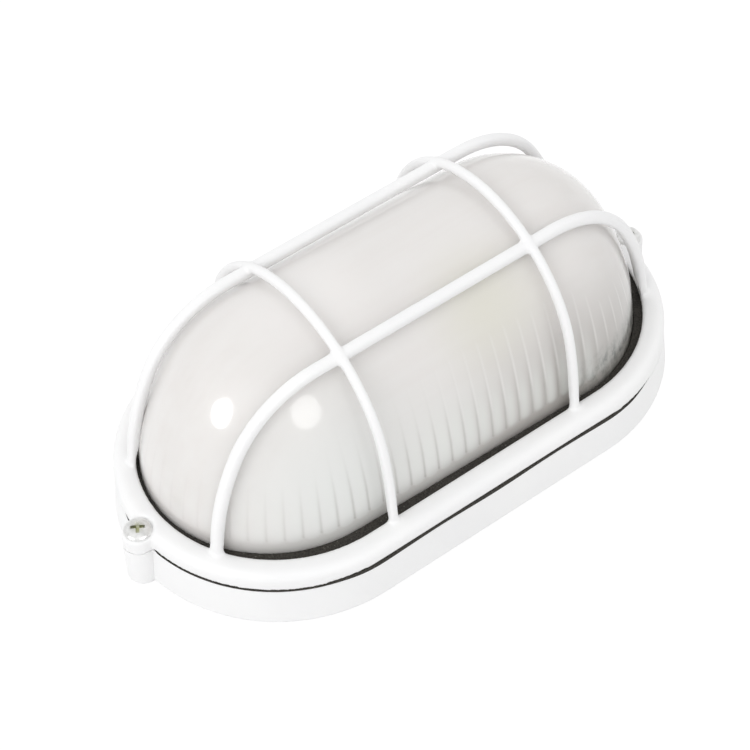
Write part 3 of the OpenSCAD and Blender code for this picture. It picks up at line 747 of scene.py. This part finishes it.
def makeSeal():
    s = sealSet
    r, flat = s["soft"], s["flat"]
    section = arc(s["inner"] + r, s["top"] - r, r, 180, 90, 4)
    section += [(s["inner"] + flat, s["top"]), (s["outer"] - flat, s["top"])]
    section += arc(s["outer"] - r, s["top"] - r, r, 90, 0, 4)
    section += [(s["outer"], z) for z in s["wall"]]
    section += arc(s["outer"] - r, s["low"] + r, r, 0, -90, 4)
    section += [(s["outer"] - flat, s["low"]), (s["inner"] + flat, s["low"])]
    section += arc(s["inner"] + r, s["low"] + r, r, -90, -180, 4)
    section += [(s["inner"], s["grooveLow"]), (s["grooveR"], s["grooveLow"]),
                (s["grooveR"], s["grooveTop"]), (s["inner"], s["grooveTop"])]
    bm = sweepOval(section, True, 90, 120)
    # Unseeded, noise_vector starts from the clock and differs in every run.
    noise.seed_set(s["seed"])
    for v in bm.verts:
        if not s["grooveLow"] - 0.01 < v.co.z < s["grooveTop"] + 0.01:
            v.co += noise.noise_vector(v.co * s["waveScale"]) * s["wave"]
            v.co.z = min(max(v.co.z, s["low"]), s["top"])
    turnGlass(bm)
    seal = keep("foamSeal", bm, "foamRubber", "cover", "seal", 50)


makeSeal()
print("seal made")

# The flat gasket between base and rim, which swells and droops where the gap is open.
gasketSet = {
    "inner": 51.45, "outer": 53.6, "lips": ((0.1, 0.2), (0.16, 0.5), (0.1, 0.8)),
    "bulge": 0.56, "bulgeFrom": (0.04, 0.1), "shows": (0.1, 0.5),
    "droop": 0.42, "swell": 48, "thins": (-66, -54),
    "holeR": 2.8, "play": 0.02,
}


def makeGasket():
    g = gasketSet
    section = [(g["inner"], 0), (g["outer"], 0)]
    section += [(g["outer"] + out, level) for out, level in g["lips"]]
    section += [(g["outer"], 1), (g["inner"], 1)]
    bm = sweepOval(section, True, 60, 90)
    for s in (-1, 1):
        knife = turned([(0, -1), (g["holeR"], -1), (g["holeR"], 2), (0, 2)])
        move(knife, s * plan["screwX"])
        bm = carve(bm, knife)
    for v in bm.verts:
        way, level, gap = outward(v.co), v.co.z, gapAt(v.co)
        v.co.z = plan["baseH"] + level * (gap - g["play"])
        edge = smooth(way.length, *(g["outer"] + step for step in g["bulgeFrom"]))
        edge *= smooth(gap, *g["shows"]) * smooth(fromScrew(v.co), *guardSet["lugBears"])
        v.co.xy += way.normalized() * g["bulge"] * edge
        droop = g["droop"] * (1 + cos(2 * pi * v.co.x / g["swell"])) * smooth(v.co.x, *g["thins"])
        v.co.z -= droop * edge * (1 - level)
    gasket = keep("baseGasket", bm, "foamRubber", "base", "base_gasket", 50)


makeGasket()
print("gasket made")


# A CAD node's own form with its edges eased, as a casting, a moulding or a bent sheet has them.
# Edges whose ends are both spared stay as they are.
def easedCopy(node, width, spared=lambda co: False):
    bm = bmesh.new()
    bm.from_mesh(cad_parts[node].data)
    bmesh.ops.scale(bm, vec=(1000, 1000, 1000), verts=bm.verts)
    bmesh.ops.remove_doubles(bm, verts=bm.verts, dist=0.004)
    bmesh.ops.dissolve_limit(bm, angle_limit=radians(0.8), verts=bm.verts, edges=bm.edges)
    edges = [e for e in bm.edges if e.is_manifold and e.calc_face_angle() > radians(40)
             and not all(spared(v.co) for v in e.verts)]
    bmesh.ops.bevel(bm, geom=edges, offset=width, offset_type="OFFSET", segments=2, profile=0.5,
                    affect="EDGES", clamp_overlap=False)
    return bm


def keepEased(name, bm, look, node):
    piece = keep(name, bm, look, "base", node)
    piece.modifiers.new("evenFaces", "WEIGHTED_NORMAL").keep_sharp = True


# The bosses keep their plain edges in the eased copy and get a rounded skin of their own.
bossSet = {"near": 5.6, "r": 5.47, "low": 0.3, "foot": 0.6, "top": 15.505, "edge": 0.2,
           "boreR": 2.49, "boreLow": 4.52}


def onBoss(co):
    return fromScrew(co) < bossSet["near"]


def makeBase():
    b = bossSet
    bm = easedCopy("base", 0.6, onBoss)
    for s in (-1, 1):
        outline = [(0, b["low"])]
        outline += arc(b["r"] - b["foot"], b["low"] + b["foot"], b["foot"], -90, 0, 4)
        outline += arc(b["r"] - b["edge"], b["top"] - b["edge"], b["edge"], 0, 90, 3)
        outline += [(b["boreR"] + b["edge"], b["top"]), (b["boreR"], b["top"] - b["edge"]),
                    (b["boreR"], b["boreLow"]), (0, b["boreLow"])]
        skin = turned(outline, 64)
        move(skin, s * plan["screwX"])
        join(bm, skin)
    keepEased("baseCast", bm, "castWhite", "base")


makeBase()
for name, width, look, slot, node in (
        ("holderBody", 0.35, "porcelain", "porcelain", "holder_body"),
        ("holderBracket", 0.3, "steel", "bracket_steel", "holder_bracket"),
        ("terminalBlock", 0.12, "steatite", "block_ceramic", "terminal_block")):
    keepEased(name, easedCopy(node, width), look, node)
print("base and fittings made")

# The threaded shell of the holder.
shellSet = {"inner": 13.3, "outer": 13.9, "from": 39.5, "length": 18.5, "pitch": 3.63,
            "wave": 0.42, "plainEnds": 1.6, "steps": 72}


def makeShell():
    s = shellSet
    heights = [s["length"] * i / s["steps"] for i in range(s["steps"] + 1)]
    outline = [(s["inner"], h) for h in heights] + [(s["outer"], h) for h in reversed(heights)]
    bm = turned(outline, s["steps"])
    for v in bm.verts:
        h, turn, end = v.co.z, atan2(v.co.y, v.co.x), s["plainEnds"]
        rolled = smooth(h, 0, end) * (1 - smooth(h, s["length"] - end, s["length"]))
        push = s["wave"] * (sin(2 * pi * h / s["pitch"] - turn) - 1) / 2 * rolled
        v.co.xy += v.co.xy.normalized() * push
    bmesh.ops.rotate(bm, verts=bm.verts, cent=(0, 0, 0), matrix=Matrix.Rotation(pi / 2, 3, "Y"))
    move(bm, s["from"], 0, plan["lampZ"])
    keep("holderShell", bm, "brass", "base", "holder_shell", 60)


makeShell()

# The two leads from the holder to the terminal block, by the points of their routes.
leadSet = {
    "radius": 1.2, "perSpan": 8,
    "live": [(67.75, -13.25, 41), (67.75, -13.25, 30), (67.75, -13.25, 18), (66.25, -14.75, 12),
             (60, -19, 8.5), (50, -25, 8), (36, -31, 8), (20, -35.9, 9), (6, -35.9, 10.2),
             (-5, -35.9, 10.2), (-10, -35.9, 10.2)],
    "neutral": [(67.75, 13.25, 41), (67.75, 13.25, 30), (67.75, 13.25, 18), (66.25, 11.75, 12),
                (58, 5, 8.5), (46, -8, 8), (32, -18, 8), (18, -25.5, 9), (6, -27.5, 10.2),
                (-5, -27.5, 10.2), (-10, -27.5, 10.2)],
}


# A smooth line through the points of a route.
def throughPoints(route, steps):
    spots = [Vector(p) for p in route]
    spots = [2 * spots[0] - spots[1]] + spots + [2 * spots[-1] - spots[-2]]
    line = []
    for a, b, c, d in zip(spots, spots[1:], spots[2:], spots[3:]):
        for i in range(steps):
            t = i / steps
            line.append(0.5 * (2 * b + (c - a) * t + (2 * a - 5 * b + 4 * c - d) * t * t
                               + (3 * b - a - 3 * c + d) * t * t * t))
    return line + [spots[-2]]


def makeLead(word):
    line = [p / 1000 for p in throughPoints(leadSet[word], leadSet["perSpan"])]
    data = bpy.data.curves.new("lead." + word, "CURVE")
    data.dimensions, data.bevel_depth, data.bevel_resolution = "3D", leadSet["radius"] / 1000, 5
    data.use_fill_caps = True
    spline = data.splines.new("POLY")
    spline.points.add(len(line) - 1)
    for point, place in zip(spline.points, line):
        point.co = (*place, 1)
    spline.use_smooth = True
    data.materials.append(looks["sleeve"])
    lead = bpy.data.objects.new("lead." + word, data)
    bpy.context.scene.collection.objects.link(lead)
    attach(lead, "base")
    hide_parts(word + "_lead")


for word in ("live", "neutral"):
    makeLead(word)

# The rubber grommet of the cable entry: skin, top lip, neck and bottom lip.
grommetSet = {
    "x": -70,
    "skin": [(0, 4.8), (0, 5.5), (3.4, 5.6), (4.3, 5.9), (4.7, 6.4), (5.2, 6.75), (5.8, 6.8)],
    "neck": [(7.95, 4.82), (7.9, 4.6), (7.9, 2.2), (7.95, 1.98)],
    "under": [(5, 0.6), (4.6, 0.8), (4.5, 1.2), (4.5, 4.4), (4.2, 4.8)],
    "topLip": ((8.5, 6.3, 0.5, 90, 20, 4), (9.5, 5.1, 0.35, 20, -80, 3)),
    "lowLip": ((9.5, 1.75, 0.35, 80, -30, 3), (8.6, 1.1, 0.5, -30, -90, 4)),
}


def makeGrommet():
    g = grommetSet
    outline = list(g["skin"])
    for lip, rest in (("topLip", "neck"), ("lowLip", "under")):
        for bend in g[lip]:
            outline += arc(*bend)
        outline += g[rest]
    bm = turned(outline, 64)
    move(bm, g["x"])
    keep("cableGrommet", bm, "rubber", "base", "cable_grommet", 50)


makeGrommet()
print("shell and grommet made")

# The cover screws: pan head with a cross recess, and a rolled thread.
screwSet = {
    "shank": 2.45, "core": 2.02, "head": 4.6, "rise": 1.9, "length": 15.35, "pitch": 0.8,
    "pan": ((0.15, 0), (0, 0.15), (0, 0.45), (0.25, 0.85), (0.8, 1.25), (1.7, 1.6), (2.9, 1.82)),
    "wing": 7, "wingWide": 1.4, "wingTaper": (0.42, 0.7, 1), "recess": 1.5, "turn": -33,
    "tip": 0.8, "plainPart": 2.2, "threadSteps": 20,
}


def screwHead(s):
    neck = s["shank"] - 0.05
    outline = [(0, -0.6), (neck, -0.6), (neck, 0)]
    outline += [(s["head"] - less, z) for less, z in s["pan"]] + [(0, s["rise"])]
    bm = turned(outline, 56)
    for turn in (0, 90):
        wing = bmesh.new()
        bmesh.ops.create_cube(wing, size=1)
        bmesh.ops.scale(wing, vec=(s["wing"], s["wingWide"], s["recess"] * 2), verts=wing.verts)
        low = [v for v in wing.verts if v.co.z < 0]
        bmesh.ops.scale(wing, vec=s["wingTaper"], verts=low)
        bmesh.ops.rotate(wing, verts=wing.verts, cent=(0, 0, 0),
                         matrix=Matrix.Rotation(radians(s["turn"] + turn), 3, "Z"))
        move(wing, z=s["rise"])
        bm = carve(bm, wing)
    return bm


def screwThread(s):
    bm = bmesh.new()
    root = s["core"] - 0.1
    row = [bm.verts.new((root, 0, 0)), bm.verts.new((root, 0, s["pitch"] * 0.9)),
           bm.verts.new((s["shank"], 0, s["pitch"] * 0.45))]
    line = row + [bm.edges.new(p) for p in zip(row, row[1:] + row[:1])]
    steps = s["threadSteps"]
    count = int((s["length"] - s["plainPart"]) / s["pitch"] * steps)
    bmesh.ops.spin(bm, geom=line, cent=(0, 0, 0), axis=(0, 0, 1), angle=2 * pi * count / steps,
                   dvec=(0, 0, s["pitch"] / steps), steps=count)
    bmesh.ops.holes_fill(bm, edges=bm.edges, sides=0)
    move(bm, z=0.5 - s["length"])
    join(bm, turned([(0, -s["length"]), (s["core"] - 0.7, -s["length"]),
                     (s["core"], s["tip"] - s["length"]), (s["core"], 0), (0, 0)], 24))
    bmesh.ops.recalc_face_normals(bm, faces=bm.faces)
    return bm


def makeScrews():
    for side, word in ((-1, "left"), (1, "right")):
        bm = screwHead(screwSet)
        join(bm, screwThread(screwSet))
        move(bm, side * plan["screwX"], 0, plan["lugTop"])
        keep("coverScrew." + word, bm, "screwZinc", "screw_" + word,
             "cover_screw_" + word, 35)


makeScrews()
print("cover screws made")

# Finishes of the frame's own nodes.
nodeLooks = {
    "centre_contact": "brass", "holder_terminals": "brass",
    "holder_terminal_screws": "zinc", "holder_screws": "zinc",
    "bracket_screws": "zinc", "block_inserts": "brass",
    "block_terminal_screws": "zinc", "block_screw": "zinc", "earth_washer": "brass",
    "earth_screw": "zinc",
}
for name, look in nodeLooks.items():
    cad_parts[name].data.materials.clear()
    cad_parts[name].data.materials.append(looks[look])
print("nodes finished")

# Floor, background and lamps. A lamp stands far metres from a point, towards aim.
studio = {
    "world": 1.0, "gloss": 0.9,
    "floorGlow": 0.9, "floorTone": 0.14, "bounce": 0.8, "floorHalf": 4, "floorZ": -0.0002,
    "leftLamp": {"aim": (-0.927, -0.013, 0.374), "from": (-0.0728, -0.0112, 0.0674),
                 "size": (0.48, 0.66), "far": 1.3, "glow": 6, "diffuse": False},
    "frontLamp": {"aim": (0.014, -0.884, 0.467), "from": (-0.0526, -0.0266, 0.0684),
                  "size": (0.68, 0.74), "far": 1.3, "glow": 2.6, "diffuse": False},
    "fillLamp": {"aim": (-0.75, -0.25, 0.66), "from": (0, 0, 0.05),
                 "size": (1.4, 1.4), "far": 2, "glow": 1.5, "diffuse": True},
}


# The floor shows white to the camera, in gloss and through the glass, keeps the shadow, and
# lets a camera below look through it.
def addFloor():
    look = bpy.data.materials.new("paleFloor")
    look.use_nodes = True
    tree = look.node_tree
    tree.nodes.clear()
    path = addNode(tree, "LightPath").outputs
    shape = addNode(tree, "NewGeometry")
    seen = either(tree, path["Is Camera Ray"], path["Is Glossy Ray"])
    seen = either(tree, seen, path["Is Transmission Ray"])
    glow = addNode(tree, "Emission", Strength=studio["floorGlow"])
    shade = addNode(tree, "BsdfDiffuse", Color=(*grey(studio["floorTone"]), 1))
    bounce = addNode(tree, "BsdfDiffuse", Color=(*grey(studio["bounce"]), 1))
    shown = addNode(tree, "AddShader")
    tree.links.new(glow.outputs[0], shown.inputs[0])
    tree.links.new(shade.outputs[0], shown.inputs[1])
    above = mixShader(tree, seen, bounce.outputs[0], shown.outputs[0])
    clear = addNode(tree, "BsdfTransparent")
    whole = mixShader(tree, shape.outputs["Backfacing"], above, clear.outputs[0])
    tree.links.new(whole, addNode(tree, "OutputMaterial").inputs["Surface"])
    bm = bmesh.new()
    bmesh.ops.create_grid(bm, x_segments=1, y_segments=1, size=studio["floorHalf"])
    move(bm, z=studio["floorZ"])
    floor = toObject("paleFloor", bm)
    floor.data.materials.append(look)


def addWorld():
    world = bpy.data.worlds.new("studio")
    bpy.context.scene.world = world
    world.use_nodes = True
    tree = world.node_tree
    path = addNode(tree, "LightPath").outputs
    lit = tree.nodes["Background"]
    lit.inputs["Color"].default_value = (1, 1, 1, 1)
    tree.links.new(remap(tree, path["Is Glossy Ray"], 0, 1, studio["world"], studio["gloss"]),
                   lit.inputs["Strength"])
    white = addNode(tree, "Background", Color=(1, 1, 1, 1), Strength=1)
    seen = either(tree, path["Is Camera Ray"], path["Is Transmission Ray"])
    tree.links.new(mixShader(tree, seen, lit.outputs[0], white.outputs[0]),
                   tree.nodes["World Output"].inputs["Surface"])


def addLamp(name, s):
    data = bpy.data.lights.new(name, "AREA")
    data.shape, data.size, data.size_y = "ELLIPSE", *s["size"]
    data.energy = s["glow"] * pi * s["size"][0] * s["size"][1]
    lamp = bpy.data.objects.new(name, data)
    bpy.context.scene.collection.objects.link(lamp)
    aim = Vector(s["aim"]).normalized()
    lamp.rotation_mode = "QUATERNION"
    lamp.rotation_quaternion = aim.to_track_quat("Z", "Y")
    lamp.location = Vector(s["from"]) + aim * s["far"]
    lamp.visible_diffuse, lamp.visible_glossy = s["diffuse"], not s["diffuse"]


addFloor()
addWorld()
for lampName in ("leftLamp", "frontLamp", "fillLamp"):
    addLamp(lampName, studio[lampName])
bpy.context.scene.view_settings.view_transform = "Standard"
print("studio set")
